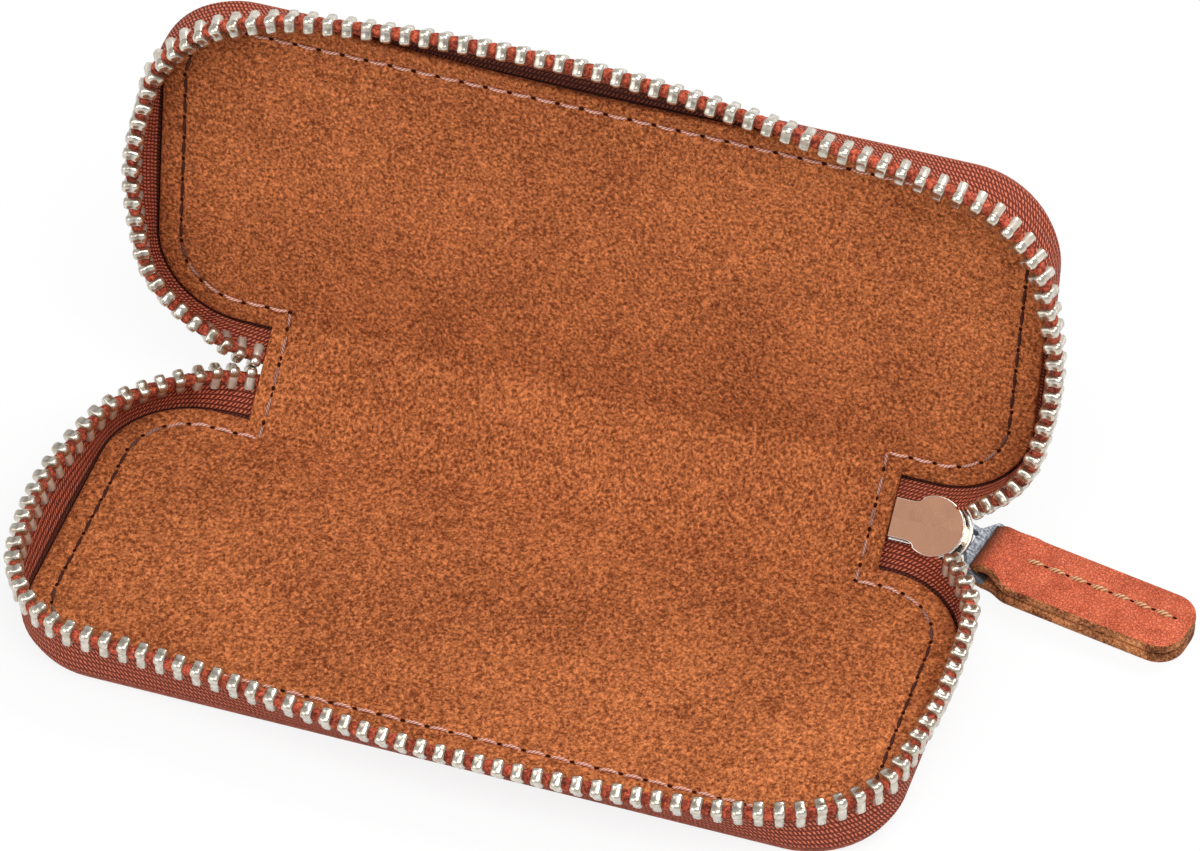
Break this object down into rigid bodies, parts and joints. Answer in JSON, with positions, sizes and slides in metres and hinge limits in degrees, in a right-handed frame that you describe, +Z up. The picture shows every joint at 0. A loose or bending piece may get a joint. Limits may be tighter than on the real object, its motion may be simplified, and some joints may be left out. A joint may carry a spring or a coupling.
{
  "type": "zippered pen case",
  "caption": "Slim leather pen case that opens like a book on a folding spine, with suede lining, splayed zip walls with metal teeth, a slider and a folded leather pull tab.",
  "frame": {"origin": "middle of the underside of the base panel, on the table", "axes": "+X along the length towards the slider, +Y from the front edge towards the spine, +Z up"},
  "size_m": [0.1396, 0.0704, 0.0619],
  "materials": {
    "case_leather": "smooth reddish-brown leather with a fine grain",
    "suede_lining": "orange-brown suede with a short mottled nap",
    "stiffener_board": "bonded leather board, hidden",
    "zip_tape": "woven reddish-brown zip tape with a herringbone rib",
    "zip_metal": "polished nickel",
    "pull_leather": "smooth orange-red leather with raw tan edges"
  },
  "bodies": {
    "base": {"base_leather": "case_leather", "base_board": "stiffener_board", "base_lining": "suede_lining", "base_zip_tape": "zip_tape", "base_zip_teeth": "zip_metal", "base_tape_end_left": "zip_tape", "base_teeth_end_left": "zip_metal", "base_tape_end_right": "zip_tape", "base_teeth_end_right": "zip_metal"},
    "spine": {"spine_leather": "case_leather", "spine_lining": "suede_lining", "lower_leather_fold": "case_leather", "upper_leather_fold": "case_leather", "zip_tail_right": "zip_tape", "zip_tail_left": "zip_tape"},
    "lid": {"lid_leather": "case_leather", "lid_board": "stiffener_board", "lid_lining": "suede_lining", "lid_zip_tape": "zip_tape", "lid_zip_teeth": "zip_metal", "lid_tape_end_left": "zip_tape", "lid_teeth_end_left": "zip_metal", "lid_tape_end_right": "zip_tape", "lid_teeth_end_right": "zip_metal"},
    "slider": {"slider_body": "zip_metal"},
    "link": {"pull_link": "zip_metal"},
    "tab": {"pull_tab": "pull_leather"}
  },
  "joints": [
    {"name": "spine_fold", "type": "hinge", "parent": "base", "child": "spine", "pos_m": [0, 0.0211, 0.003], "axis": [1, 0, 0], "range_deg": [-40, 50], "deforming": ["lower_leather_fold", "base_tape_end_left", "base_tape_end_right", "base_teeth_end_left", "base_teeth_end_right"]},
    {"name": "lid_fold", "type": "hinge", "parent": "spine", "child": "lid", "pos_m": [0, 0.03152, 0.01174], "axis": [1, 0, 0], "range_deg": [-40, 50], "deforming": ["upper_leather_fold", "lid_tape_end_left", "lid_tape_end_right", "lid_teeth_end_left", "lid_teeth_end_right"]},
    {"name": "slider_travel", "type": "slide", "parent": "spine", "child": "slider", "axis": [1, 0, 0], "range_m": [0, 0.005]},
    {"name": "link_swing", "type": "hinge", "parent": "slider", "child": "link", "pos_m": [0.0476, 0.03045, 0.0044], "axis": [-0.1908, -0.9816, 0], "range_deg": [0, 12]},
    {"name": "tab_swing", "type": "hinge", "parent": "link", "child": "tab", "pos_m": [0.05339, 0.02932, 0.00219], "axis": [-0.1908, -0.9816, 0], "range_deg": [0, 42]}
  ],
  "couplings": [
    {"joint": "lid_fold", "follows": "spine_fold", "ratio": 1}
  ]
}
